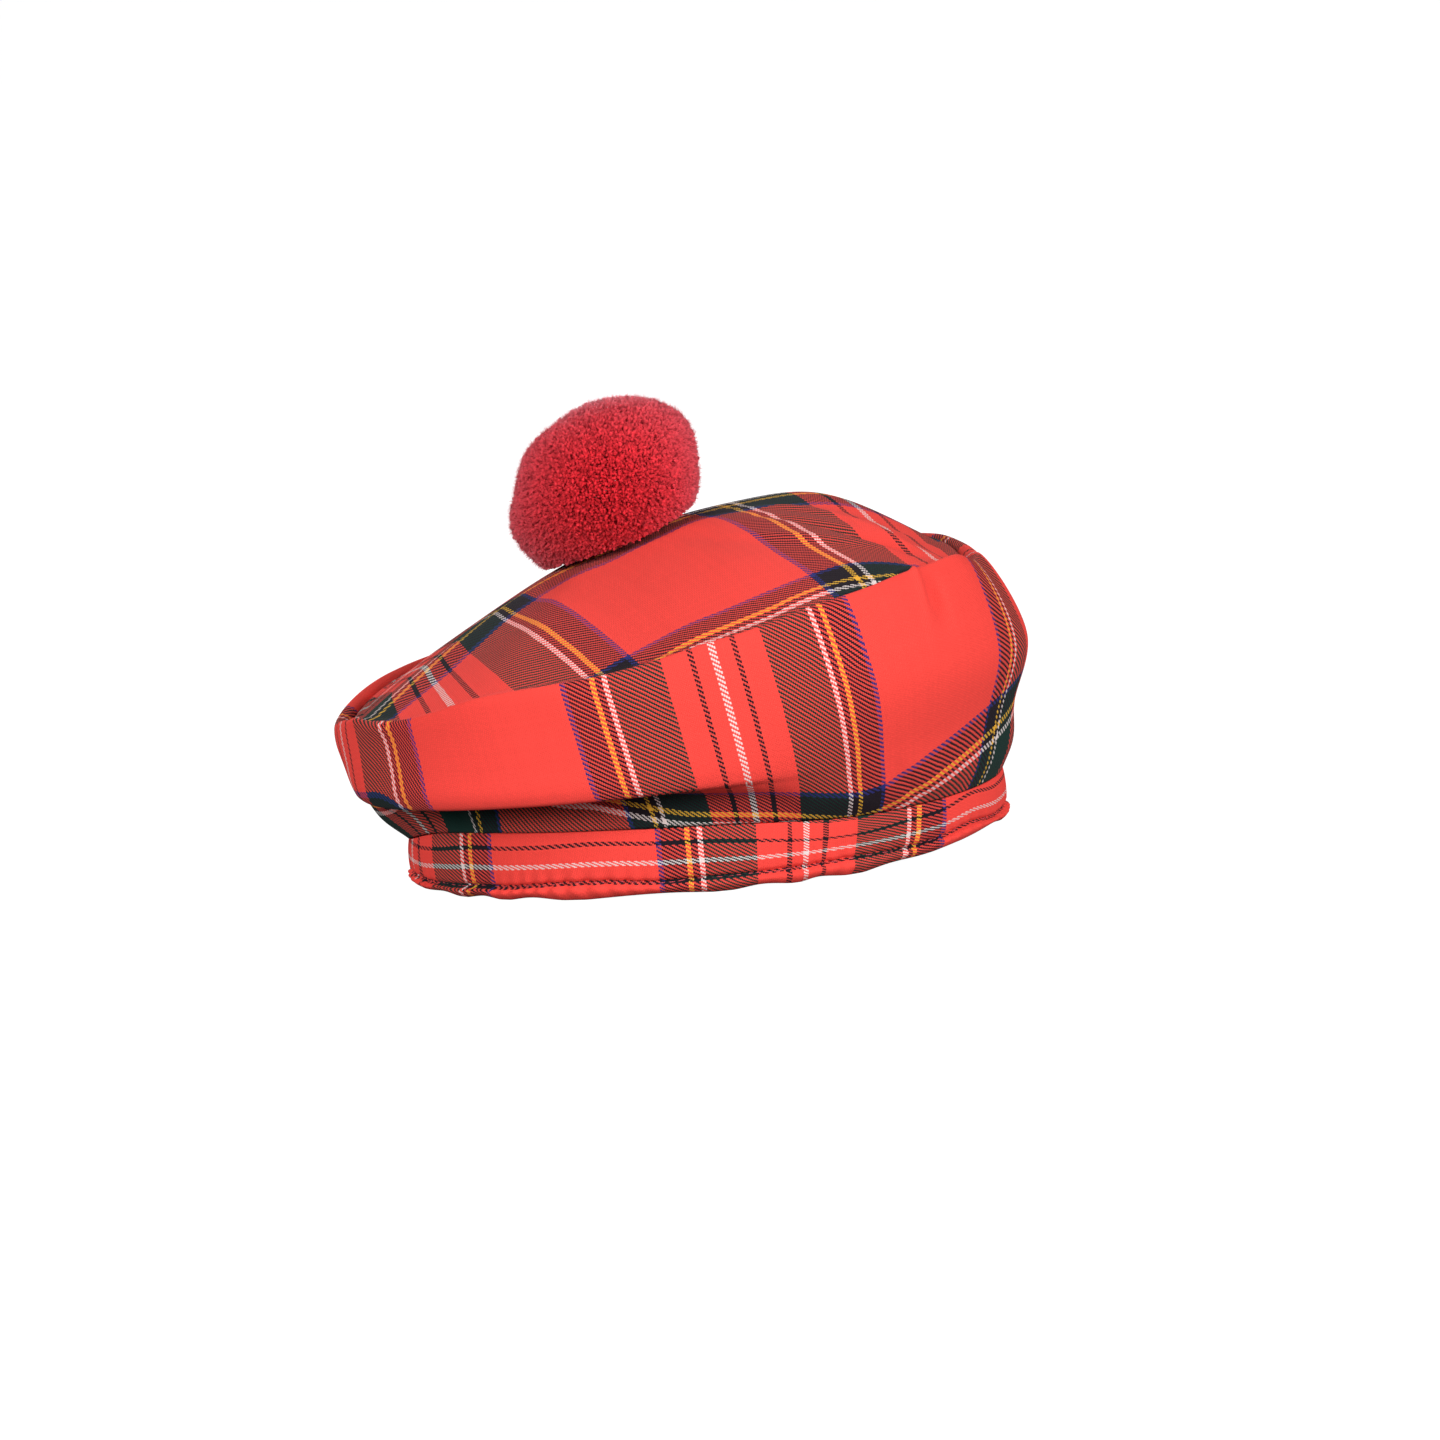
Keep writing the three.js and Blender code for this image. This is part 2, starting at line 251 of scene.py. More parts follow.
def rolled(turn, angle, side):
    """Out and up of the quarter round at the seam: out grows by the roll times one minus the
    sine of the angle, and up falls by the depth times one minus its cosine."""
    out = section("seam_out", turn) * OVERHANG
    up = seam_height(turn)
    angle = np.radians(angle)
    return np.stack(np.broadcast_arrays(
        out + side * (SEWN_GAP / 2 + SEAM_ROLL * (1 - np.sin(angle))),
        up - SEAM_DEPTH * (1 - np.cos(angle))), -1)


def through(points, place):
    """Centripetal Catmull-Rom curve through the first axis of points; place counts spans, and
    each span's speed is the square root of its length."""
    span = np.minimum(np.floor(place).astype(int), len(points) - 2)
    along = (place - span)[:, None, None]
    ends = np.concatenate(([2 * points[0] - points[1]], points, [2 * points[-1] - points[-2]]))
    before, start, end, after = (ends[span + step] for step in range(4))
    first, middle, last = (
        np.maximum(np.linalg.norm(b - a, axis=-1, keepdims=True), 1e-9) ** 0.5
        for a, b in ((before, start), (start, end), (end, after)))
    leave = (start - before) / first - (end - before) / (first + middle) + (end - start) / middle
    arrive = (end - start) / middle - (after - start) / (middle + last) + (after - end) / last
    leave = leave * middle
    arrive = arrive * middle
    bend = 3 * (end - start) - 2 * leave - arrive
    twist = 2 * (start - end) + leave + arrive
    return start + leave * along + bend * along ** 2 + twist * along ** 3


def unit(arrows):
    """Arrows of length one: each divided by its own length."""
    return arrows / np.maximum(np.linalg.norm(arrows, axis=-1, keepdims=True), 1e-12)


def facing(face):
    """Unit outward normals of a grid of points that runs out and down: the slope along it crossed
    with the slope round it."""
    along = np.gradient(face, axis=0)
    ahead = np.roll(face[:, :-1], -1, 1) - np.roll(face[:, :-1], 1, 1)
    return unit(np.cross(along, np.concatenate((ahead, ahead[:, :1]), 1)))


def between(number, first):
    """Four-cornered faces between neighbours on a grid of point numbers that closes both ways.
    Each goes one step along the first axis, one along the other, and back."""
    ahead = np.roll(number, -1, first)
    other = 1 - first
    return np.stack((number, ahead, np.roll(ahead, -1, other), np.roll(number, -1, other)), -1)


def smooth_piece(name, points, faces):
    """A piece with smooth faces between these points."""
    mesh = bpy.data.meshes.new(name)
    mesh.from_pydata(points.reshape(-1, 3).tolist(), [], faces)
    mesh.shade_smooth()
    return add_object(name, mesh)


def cloth_piece(name, rings, cloth, poles=()):
    """One closed mesh from rings of points, with each corner's place on the flat cloth as its
    UV. The last ring joins the first, or else fans close both ends at the poles."""
    rows, turns = rings.shape[0], rings.shape[1] - 1
    last = -1 if poles else rows
    number = np.arange(rows * turns).reshape(rows, turns)
    near, far = cloth[:, :-1], cloth[:, 1:]
    corners = np.stack((near, far, np.roll(far, -1, 0), np.roll(near, -1, 0)), -2)
    places = corners[:last].reshape(-1, 2)
    faces = between(number, 1)[:last].reshape(-1, 4).tolist()
    points = rings[:, :-1].reshape(-1, 3)
    for (point, place), tip, row, order in zip(poles, (0, 1), (0, -1), ((1, 0, 2), (0, 1, 2))):
        fan = np.stack((number[row], np.roll(number[row], -1), np.full(turns, number.size + tip)), -1)
        flat = np.stack((near[row], far[row], np.tile(place, (turns, 1))), -2)
        points = np.concatenate((points, point[None]))
        faces += fan[:, order].tolist()
        places = np.concatenate((places, flat[:, order].reshape(-1, 2)))
    piece = smooth_piece(name, points, faces)
    layer = piece.data.uv_layers.new(name="cloth")
    layer.data.foreach_set("uv", places.astype(np.float32).ravel())
    return piece


def lengths(face, axis):
    """Lengths run along one axis of a grid of points, from its first row."""
    steps = np.linalg.norm(np.diff(face, axis=axis), axis=-1)
    start = np.zeros_like(np.take(steps, [0], axis))
    return np.concatenate((start, np.cumsum(steps, axis)), axis)


# The tartan's half repeat: each stripe's end in millimetres from the white middle line
SETT = (
    (1, "white"), (6.5, "red"), (8.5, "black"), (17.5, "red"), (36, "green"), (38, "white"),
    (40, "black"), (42, "yellow"), (50, "black"), (52, "blue"), (82.5, "red"),
)
YARNS = {
    "red": (0.86, 0.078, 0.062),
    "black": (0.018, 0.012, 0.018),
    "yellow": (0.84, 0.46, 0.05),
    "white": (0.82, 0.71, 0.69),
    "blue": (0.032, 0.034, 0.19),
    "green": (0.011, 0.038, 0.031),
}
HALF_REPEAT = 0.0825
WARP_PITCH = 0.0006
WEFT_PITCH = 0.0004
# Stripes are looked up in 256 steps, so each place is moved on by half a step
HALF_STEP = 0.5 / 256
TWILL_REPEAT = 4
TWILL_OVER = 2
YARN_WAVER = 0.0005
FLOAT_ARCH = 0.6
CROSSING_TINT = 0.25
FIRST_WEFT = 5000
LEAST_SHADE = 0.70
YARN_SHADE = 0.06
# How much lighter the tops of the yarn humps are painted than the gaps between them: painted shade
PAINTED_GAP_SHADE = 0.26
FUZZ_SHADE = 0.16
FUZZ_RELIEF = 0.5


def add_node(tree, kind, values, **traits):
    """A shader node of this kind with these traits, fed with these values."""
    node = tree.nodes.new("ShaderNode" + kind)
    for trait, value in traits.items():
        setattr(node, trait, value)
    feed(node, values)
    return node


def wire(tree, operation, *values):
    """A math node on one to three values, each a socket or a plain number."""
    return add_node(tree, "Math", dict(enumerate(values)), operation=operation).outputs[0]


def mixed(tree, factor, first, second, **traits):
    """A mix node's result: the first value, changed to the second by the factor."""
    node = add_node(tree, "Mix", {"Factor": factor, "A": first, "B": second}, **traits)
    return node.outputs["Result"]


def sett_colour(tree, thread, pitch):
    """Colour of the thread with this number: its distance from the middle line, folded back at
    the half repeat, looked up on the stripes."""
    middle = wire(tree, "MULTIPLY", wire(tree, "ADD", thread, 0.5), pitch)
    folded = wire(tree, "DIVIDE", wire(tree, "PINGPONG", middle, HALF_REPEAT), HALF_REPEAT)
    stripes = add_node(tree, "ValToRGB", {0: wire(tree, "ADD", folded, HALF_STEP)})
    stripes.color_ramp.interpolation = "CONSTANT"
    marks = stripes.color_ramp.elements
    marks.remove(marks[-1])
    marks[0].color = (*YARNS[SETT[0][1]], 1)
    for (start, _), (_, yarn) in zip(SETT, SETT[1:]):
        marks.new(start / 1000 / HALF_REPEAT).color = (*YARNS[yarn], 1)
    return stripes.outputs[0]


def twill_group():
    """Two over, two under twill: the warp lies on top where warp number plus weft number, left
    over from fours, is under two. Each float is a hump, round across and arched along."""
    tree = bpy.data.node_groups.new("tartan_twill", "ShaderNodeTree")
    tree.interface.new_socket("Cloth", in_out="INPUT", socket_type="NodeSocketVector")
    tree.interface.new_socket("Colour", in_out="OUTPUT", socket_type="NodeSocketColor")
    tree.interface.new_socket("Height", in_out="OUTPUT", socket_type="NodeSocketFloat")
    cloth = tree.nodes.new("NodeGroupInput").outputs[0]

    # Yarns aren't drawn straight: a slow, small waver
    waver = add_node(tree, "TexNoise", {"Vector": cloth, "Scale": 160, "Detail": 2})
    shift = add_node(
        tree, "VectorMath", {0: waver.outputs["Color"], 1: (YARN_WAVER, YARN_WAVER, 0), 2: cloth},
        operation="MULTIPLY_ADD")
    split = add_node(tree, "SeparateXYZ", {0: shift.outputs[0]})
    warp_place = wire(tree, "DIVIDE", split.outputs[0], WARP_PITCH)
    weft_place = wire(tree, "DIVIDE", split.outputs[1], WEFT_PITCH)
    warp = wire(tree, "FLOOR", warp_place)
    weft = wire(tree, "FLOOR", weft_place)
    step = wire(tree, "FLOORED_MODULO", wire(tree, "ADD", warp, weft), TWILL_REPEAT)
    over = wire(tree, "LESS_THAN", step, TWILL_OVER)

    def hump(place, float_place):
        """One less the square of the way from the yarn's middle, times one less FLOAT_ARCH of the
        square of the way from its float's middle."""
        width = wire(tree, "SUBTRACT", wire(tree, "MULTIPLY", wire(tree, "FRACT", place), 2), 1)
        round_across = wire(tree, "SUBTRACT", 1, wire(tree, "POWER", wire(tree, "ABSOLUTE", width), 2))
        bow = wire(tree, "SUBTRACT", float_place, 1)
        arch = wire(tree, "MULTIPLY_ADD", wire(tree, "MULTIPLY", bow, bow), -FLOAT_ARCH, 1)
        return wire(tree, "MULTIPLY", round_across, arch)

    warp_float = wire(tree, "FLOORED_MODULO", wire(tree, "ADD", warp, weft_place), TWILL_REPEAT)
    weft_float = wire(tree, "FLOORED_MODULO", wire(tree, "ADD", warp_place, weft), TWILL_REPEAT)
    weft_hump = hump(weft_place, wire(tree, "SUBTRACT", weft_float, TWILL_OVER))
    height = mixed(tree, over, weft_hump, hump(warp_place, warp_float))

    # The yarn that crosses under each float tints it
    warp_colour = sett_colour(tree, warp, WARP_PITCH)
    weft_colour = sett_colour(tree, weft, WEFT_PITCH)
    colour = mixed(tree, over, weft_colour, warp_colour, data_type="RGBA")
    crossing = mixed(tree, over, warp_colour, weft_colour, data_type="RGBA")
    tinted = mixed(tree, CROSSING_TINT, colour, crossing, data_type="RGBA", blend_type="MULTIPLY")

    # Each yarn differs a little in shade, fuzz lightens it unevenly, and the colour is painted darker
    # where each hump falls off into the gaps: painted shade, on top of the real bump
    thread = mixed(tree, over, wire(tree, "ADD", weft, FIRST_WEFT), warp)
    shade = add_node(tree, "TexWhiteNoise", {"W": thread}, noise_dimensions="1D")
    fuzz = add_node(tree, "TexNoise", {"Vector": cloth, "Scale": 2600, "Detail": 3}).outputs["Fac"]
    bright = wire(tree, "MULTIPLY_ADD", shade.outputs["Value"], YARN_SHADE, LEAST_SHADE)
    bright = wire(tree, "MULTIPLY_ADD", height, PAINTED_GAP_SHADE, bright)
    bright = wire(tree, "MULTIPLY_ADD", fuzz, FUZZ_SHADE, bright)
    grey = add_node(tree, "CombineColor", {0: bright, 1: bright, 2: bright}).outputs[0]
    feed(tree.nodes.new("NodeGroupOutput"), {
        "Colour": mixed(tree, 1, tinted, grey, data_type="RGBA", blend_type="MULTIPLY"),
        "Height": wire(tree, "MULTIPLY_ADD", fuzz, FUZZ_RELIEF, height),
    })
    return tree


# Matt wool that shows the twill at each point's place on the flat cloth
tartan = new_paint("tartan_cloth", {
    "Roughness": 0.95,
    "Specular IOR Level": 0.07,
    "Sheen Weight": 0.02,
    "Sheen Roughness": 0.5,
})
tartan_tree = tartan.node_tree
cloth_place = add_node(tartan_tree, "UVMap", {}, uv_map="cloth")
twill = add_node(
    tartan_tree, "Group", {"Cloth": cloth_place.outputs["UV"]}, node_tree=twill_group())
twill_bump = add_node(
    tartan_tree, "Bump", {"Height": twill.outputs["Height"], "Strength": 0.7, "Distance": 0.00016})
feed(tartan_tree.nodes["Principled BSDF"], {
    "Base Color": twill.outputs["Colour"],
    "Normal": twill_bump.outputs["Normal"],
})

# The pattern's place round the turn, in millimetres: how far it stands over the lip, and how
# much cloth the roll hides
PATTERN_UP = (
    (0, 36), (30, 36), (60, 50), (90, 56), (120, 56), (150, 50), (180, 47), (195, 48.5), (205, 47),
    (213, 44), (219, 51), (225, 57), (240, 57), (250, 55), (270, 55), (285, 58), (300, 63),
    (315, 54.5), (330, 47.5), (345, 41.5),
)
PATTERN_HIDDEN = (
    (200, 0), (213, 2), (222, 6), (238, 4.5), (244, 2), (250, 1.5), (258, -1.5), (268, -4.5),
    (277, -2), (288, 0),
)
# Cloth taken up by the gathers along the seam, in millimetres, and how far over the lip it starts
# and is whole
SEAM_GATHER = ((285, 0), (298, 6), (318, 9), (335, 4), (345, 0))
GATHER_START = 0.032
GATHER_WHOLE = 0.052
# How far the pattern leans round the turn, for each metre over the belly's row
PATTERN_LEAN = (
    (0, -0.25), (30, 0), (60, 0.1), (150, 0.1), (180, 0.25), (205, 0.40), (225, 0.32), (250, 0.26),
    (275, 0.18), (303, 0.18), (340, -0.28),
)
# The white middle line's place, in metres round from the middle of the front, and the cloth
# gathered into each metre round
PATTERN_MIDDLE = 0.0108
PATTERN_GATHER = 1.045

# The roll over the band: how deep the cloth goes in under it, in millimetres
ROLL_DEEP = (
    (0, 0), (186, 0), (200, 3), (208, 6), (216, 10), (226, 12), (236, 10.5), (246, 7.5), (256, 5.5),
    (264, 4), (272, 2.4), (284, 0.5), (292, 0),
)
ROLL_EDGE = 0.0012
ROLL_TURN = 0.0032
ROLL_ARCH = 0.36
ROLL_FULLNESS = 1.6
ROLL_ARCH_FULLNESS = 0.7
ROLL_SWELL = 0.1
SWELL_UP = 0.005
# Small dents and folds in the ring: angle, place in spans from the seam, half widths in degrees
# and spans, depth in millimetres, and slant in degrees for each span down
RING_DENTS = (
    (318.5, 2.42, 1.9, 0.19, 3.0, 0), (315.5, 2.0, 0.8, 0.5, -1.3, -1.5), (212, 2.3, 5, 0.35, -1.6, 0),
    (203, 2.0, 3, 0.3, -1.2, 0), (331, 2.05, 6, 0.3, -1.4, 0), (299, 4.6, 3, 0.6, 0.8, 6),
    (309, 4.9, 2.5, 0.7, 0.9, 5), (215, 5.2, 2.0, 0.6, 1.5, 4), (221, 5.4, 1.6, 0.6, -1.2, 5),
    (247, 5.3, 3, 0.6, 0.8, 5), (283, 5.3, 4, 0.6, 0.7, 3), (263, 2.6, 7, 0.5, -0.5, 0),
    (244, 2.8, 6, 0.5, 0.5, 4), (40, 5.0, 4, 0.8, 1.2, 4), (66, 5.0, 3, 0.8, 1.4, -4),
    (96, 5.0, 4, 0.8, 1.3, 4), (124, 5.0, 4, 0.8, 1.5, -3), (150, 5.0, 4, 0.8, 1.2, 4),
    (172, 5.0, 4, 0.8, 1.2, 0), (60, 2.8, 8, 0.7, 1.2, 4), (110, 2.9, 9, 0.7, 1.3, -5),
    (140, 2.4, 6, 0.6, 1.0, 5), (20, 2.6, 7, 0.7, 0.9, 0), (350, 2.5, 5, 0.5, 0.8, 3),
)
FRONT = 270
# Rows of points on each span between the ring's control points, from the seam to the band
RING_STEPS = (5, 5, 26, 24, 14, 12)


def growing(value, start, whole, most=1):
    """A share that grows evenly from nought at the start to one at the whole, up to the most."""
    return np.clip((value - start) / (whole - start), 0, most)


def folds(rows, turn, place):
    """Depth of dents and folds in metres: for each row its depth, times a bell curve of the
    degrees from its angle, which slants with the place, times a bell curve of the place."""
    return sum(
        deep / 1000
        * np.exp(-(((turn - angle + 180 - slant * (place - middle)) % 360 - 180) / wide) ** 2)
        * np.exp(-((place - middle) / tall) ** 2)
        for angle, middle, wide, tall, deep, slant in rows)


ring_turn = full_turn(RING_TURNS)
ring_spans = [span + np.arange(steps) / steps for span, steps in enumerate(RING_STEPS)]
ring_place = np.concatenate(ring_spans + [[len(RING_STEPS)]])
belly_row = sum(RING_STEPS[:3])
lip_row = sum(RING_STEPS[:4])
ring_flat = through(np.stack([
    *(rolled(ring_turn, angle, 1) for angle in (90, 45, 0)),
    *(np.stack((
        section(f"{part}_out", ring_turn) * OVERHANG,
        section(f"{part}_up", ring_turn) * CROWN_RISE), -1) for part in ("belly", "lip", "tuck")),
    np.stack((0 * ring_turn, (section("band_up", ring_turn) - 1) * BAND_HEIGHT + SEWN_GAP), -1),
]), ring_place)
ring_up = lengths(stand(ring_turn, ring_flat), 0)
ring_up = ring_up[lip_row] - ring_up

# Under the roll's edge the cloth goes in sharply and comes out again towards the band
under = ROLL_EDGE - ring_up
under_share = np.clip(under / (ROLL_EDGE - ring_up[-1]), 0, 1)
turned = np.clip(under / ROLL_TURN, 0, 1)
turned = turned ** 2 * (3 - 2 * turned)
roll_deep = round_turn(ROLL_DEEP, ring_turn, 5) / 1000
roll_arch = np.sin(math.pi * under_share ** ROLL_ARCH_FULLNESS)
ring_flat[..., 0] -= roll_deep * turned * (1 - under_share ** ROLL_FULLNESS)
ring_flat[..., 1] += ROLL_ARCH * roll_deep * turned * roll_arch
ring_flat[..., 0] += ROLL_SWELL * roll_deep * np.exp(-((ring_up - SWELL_UP) / SWELL_UP) ** 2)
ring_outer = stand(ring_turn, ring_flat)
ring_dents = folds(RING_DENTS, ring_turn, ring_place[:, None])
ring_outer = ring_outer - facing(ring_outer) * ring_dents[..., None]
ring_round = lengths(ring_outer[belly_row:belly_row + 1], 1)[0]
ring_round = (ring_round - np.interp(FRONT, ring_turn, ring_round) - PATTERN_MIDDLE) * PATTERN_GATHER
gather = growing(ring_up, GATHER_START, GATHER_WHOLE) * round_turn(SEAM_GATHER, ring_turn, 4)
hidden = turned * round_turn(PATTERN_HIDDEN, ring_turn, 4)
ring_cloth = np.stack((
    ring_round + round_turn(PATTERN_LEAN, ring_turn) * (ring_up - ring_up[belly_row]),
    ring_up + (round_turn(PATTERN_UP, ring_turn, 4) - hidden - gather) / 1000), -1)

ring_inner = ring_outer - facing(ring_outer) * CLOTH_WALL
side_ring = cloth_piece(
    "side_ring", np.concatenate((ring_outer[::-1], ring_inner)),
    np.concatenate((ring_cloth[::-1], ring_cloth)))
side_ring.data.materials.append(tartan)
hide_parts("crown_side")
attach(side_ring, "root")


# Top disc
# A round of the same twill, cut with the pattern across the grain of the ring and sewn to it
# all round. It domes under the pompom and sags towards the right of the seam.
CROWN_PEAK = 0.0825
CROWN_PEAK_LEFT = 0.021
CROWN_PEAK_BACK = 0.006
CROWN_FALL = 1.25
DISC_TURNS = 480
DISC_ROWS = 52
DISC_ROLL_ROWS = 8
# The pattern's two ways over the disc, and its place at the peak, in metres of cloth
DISC_ACROSS = np.array((0.877, 0.410))
DISC_ALONG = np.array((-0.323, 0.824))
DISC_START = np.array((0.0894, 0.1331))

# Folds and sags of the disc: angle, share of the way out, half widths in degrees and shares,
# depth in millimetres, and slant in degrees for the whole way out
DISC_DENTS = (
    (320, 0.80, 3.5, 0.28, -1.0, 40), (331, 0.78, 4.5, 0.24, 3.2, -8), (344, 0.76, 4, 0.20, -2.2, -56),
    (0, 0.80, 7, 0.2, 1.0, 0), (32, 0.68, 30, 0.22, -4.4, 0),
    (305, 0.55, 10, 0.25, 0.8, 20), (236, 0.60, 14, 0.25, -0.8, 0), (208, 0.75, 8, 0.2, 1.0, 0),
    (60, 0.6, 16, 0.3, 1.5, 20), (120, 0.7, 16, 0.3, 1.5, -20), (160, 0.6, 14, 0.3, 1.2, 0),
    (90, 0.3, 20, 0.15, 1.0, 0),
)

# The rim of the cloth is drawn round, in metres. At the front: by how much, between which
# shares of the way out, about which angle and between how many degrees from it
FRONT_PULL = 0.0045
FRONT_PULL_SHARES = (0.84, 0.96)
FRONT_PULL_TURN = 284
FRONT_PULL_TURNS = (41.6, 15.6)
# At the left, the back left and the right: the places to the right of the peak where the pull
# starts and is whole and its most, the same to the back, and the pull across and along
RIM_PULLS = (
    (-0.030, -0.060, 9, -0.100, 0, 1, 0.014, 0),
    (-0.0049, -0.0399, 1, -0.0501, -0.0201, 1.2, 0, 0.0095),
    (0.050, 0.075, 1, -0.0495, -0.0645, 1, 0.0045, 0.005),
)

disc_turn = full_turn(DISC_TURNS)
disc_share = np.concatenate((np.arange(1, DISC_ROWS + 1) / DISC_ROWS, np.ones(DISC_ROLL_ROWS)))[:, None]
disc_roll = np.arange(1, DISC_ROLL_ROWS + 1) / DISC_ROLL_ROWS * 90
disc_edge = rolled(disc_turn, np.concatenate((np.zeros(DISC_ROWS), disc_roll))[:, None], -1)
disc_peak = np.array((*BAND_MIDDLE, BAND_HEIGHT)) + (-CROWN_PEAK_LEFT, CROWN_PEAK_BACK, CROWN_PEAK)
disc_plan = disc_peak[:2] + (oval(disc_turn, disc_edge[..., 0]) - disc_peak[:2]) * disc_share[..., None]
seam_up = seam_height(disc_turn)
disc_up = (
    disc_peak[2] - (CROWN_PEAK - seam_up) * disc_share ** CROWN_FALL
    + section("dome", disc_turn) * CROWN_RISE * 4 * disc_share * (1 - disc_share)
    + disc_edge[..., 1] - seam_up)
disc_outer = np.concatenate((disc_plan, disc_up[..., None]), -1)
disc_far = np.linalg.norm(disc_outer[0] - disc_peak, axis=-1) + lengths(disc_outer, 0)
disc_outer[..., 2] -= folds(DISC_DENTS, disc_turn, disc_share)

disc_spread = disc_far[..., None] * unit(disc_outer[DISC_ROWS - 1, :, :2] - disc_peak[:2])
disc_cloth = DISC_START + np.stack((disc_spread @ DISC_ACROSS, disc_spread @ DISC_ALONG), -1)
disc_cloth[..., 1] -= (
    FRONT_PULL * growing(disc_share, *FRONT_PULL_SHARES)
    * growing(abs(disc_turn - FRONT_PULL_TURN), *FRONT_PULL_TURNS))
for right_start, right_whole, right_most, back_start, back_whole, back_most, *pull in RIM_PULLS:
    rightward = growing(disc_spread[..., :1], right_start, right_whole, right_most)
    disc_cloth -= rightward * growing(disc_spread[..., 1:], back_start, back_whole, back_most) * pull

disc_inner = disc_outer - facing(disc_outer) * CLOTH_WALL
top_disc = cloth_piece(
    "top_disc", np.concatenate((disc_inner, disc_outer[::-1])),
    np.concatenate((disc_cloth, disc_cloth[::-1])),
    poles=((disc_peak - (0, 0, CLOTH_WALL), DISC_START), (disc_peak, DISC_START)))
top_disc.data.materials.append(tartan)
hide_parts("crown_top")
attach(top_disc, "root")


# Headband
# A strip of the twill folded double, with its lower edge turned under and held by one line of
# stitching, so that the hem puffs out below a groove. The ring is sewn in along its top.
BAND_WALL = 0.0028
HEM_PUFF = 0.0013
HEM_GROOVE = 0.0017
GROOVE_WIDE = 0.0009
BAND_PUFF = 0.0006
BAND_TURNS = 720
BAND_ROWS = 40
BAND_ROUNDING = 0.0040
BLACK_LINE = 0.0075
WHITE_PINCH = 0.0003
PUCKER_STEP = 0.0058
PUCKER_DEEP = 0.00045
HEM_UNEVEN = 0.0005
HEM_BLUNT = 0.8
HEM_EASE = 0.0012
FOOT_LEAST = 0.02
ROWS_LOW = 1.25
# Slow waves in the puckers' spacing, as turns and metres, and in their depth and in the lower edge
PUCKER_DRIFTS = ((0.35, 0.021), (0.25, 0.0083))
PUCKER_SWELL = 0.5
PUCKER_SWELL_STEP = 0.017
PUCKER_REACH = 0.0028
HEM_WAVE_STEP = 0.0052
HEM_WAVE_LEAST = 0.2
HEM_DRIFT = 2
HEM_DRIFT_STEP = 0.019

# Round the turn, millimetres over the band's lower edge: the stitched groove with the lower
# black line in it, the white middle line and the upper black line
BAND_LINES = (
    (0, 4.6, 9.5, 15.0), (45, 5.0, 11.0, 17.5), (90, 5.2, 11.2, 17.8), (135, 4.8, 11.0, 17.4),
    (180, 4.0, 9.5, 15.5), (200, 3.4, 8.9, 14.7), (210, 3.6, 10.1, 15.9), (220, 4.3, 10.9, 17.6),
    (230, 4.3, 11.1, 17.4), (240, 5.5, 11.6, 18.0), (250, 5.8, 12.0, 18.8), (260, 4.5, 11.3, 17.6),
    (270, 4.9, 10.9, 17.2), (280, 4.7, 9.9, 15.4), (290, 5.0, 9.5, 13.3), (300, 5.5, 9.6, 13.0),
    (310, 4.2, 8.7, 13.5), (320, 3.8, 7.7, 12.7), (330, 4.8, 9.0, 14.8), (340, 3.3, 8.0, 13.2),
)
# The band is gathered: millimetres round it from the middle of the front, and of cloth from the
# white middle line
BAND_CLOTH = (
    (-330, -369), (-125.8, -165), (-105.4, -147.5), (-88, -128), (-84, -124), (-75.4, -114), (-15.1, -51),
    (-6.1, -41), (-2.3, -37), (15.1, -17.5), (25.8, -7.5), (30.9, 0), (37.1, 7.5), (48.2, 17.5),
    (67.9, 37), (71.6, 41), (83.3, 51), (330, 303),
)
# The pattern's lean up the band, and the millimetres that it slips along in the hem
BAND_LEAN = ((0, 0), (200, 0), (275, 0), (290, 0.18), (315, 0.22), (335, 0.1), (350, 0))
HEM_SLIP = ((0, 0), (190, 0), (205, 2.6), (225, 2.2), (240, 0.2), (300, 0), (312, 1.2), (324, 0))


def band_line(column, turn):
    """Height of one of the band's lines over its lower edge, in metres."""
    return round_turn([(row[0], row[column]) for row in BAND_LINES], turn, 3) / 1000


band_turn = full_turn(BAND_TURNS)
band_foot = np.maximum(section("band_lift", band_turn), 0) * BAND_HEIGHT
band_tall = section("band_up", band_turn) * BAND_HEIGHT - band_foot
hem_up, white_up, black_up = (band_line(column, band_turn) for column in (1, 2, 3))
band_round = lengths(oval(band_turn, 0)[None], 1)[0]
band_round = band_round - np.interp(FRONT, band_turn, band_round)
band_round = np.interp(band_round, *(np.array(BAND_CLOTH).T / 1000))

band_share = (np.arange(BAND_ROWS) / (BAND_ROWS - 1))[:, None] ** ROWS_LOW
band_height = band_share * band_tall
hem_share = np.clip(band_height / hem_up, 0, 1)
field_share = np.clip((band_height - hem_up) / (band_tall - hem_up), 0, 1)
# Each stitch or two draws the cloth in, a little unevenly, above and below the groove
pucker_way = band_round / PUCKER_STEP + sum(
    drift * np.sin(band_round / step) for drift, step in PUCKER_DRIFTS)
pucker_deep = PUCKER_DEEP * (1 + PUCKER_SWELL * np.sin(band_round / PUCKER_SWELL_STEP))
pucker_reach = np.exp(-np.clip(band_height - hem_up, 0, None) / PUCKER_REACH)
pucker_reach = pucker_reach * np.sin(math.pi * hem_share * 0.5)
band_bulge = (
    HEM_PUFF * np.sin(math.pi * hem_share) ** HEM_BLUNT
    + BAND_PUFF * np.sin(math.pi * field_share)
    + pucker_deep * np.sin(2 * math.pi * pucker_way) * pucker_reach
    - HEM_GROOVE * np.exp(-((band_height - hem_up) / GROOVE_WIDE) ** 2))
foot_way = band_round / HEM_WAVE_STEP + HEM_DRIFT * np.sin(band_round / HEM_DRIFT_STEP)
foot_wave = HEM_UNEVEN * np.maximum(1 + np.sin(foot_way), HEM_WAVE_LEAST)
foot_round = np.sqrt(1 - (1 - np.clip(band_height / BAND_ROUNDING, 0, 1)) ** 2)
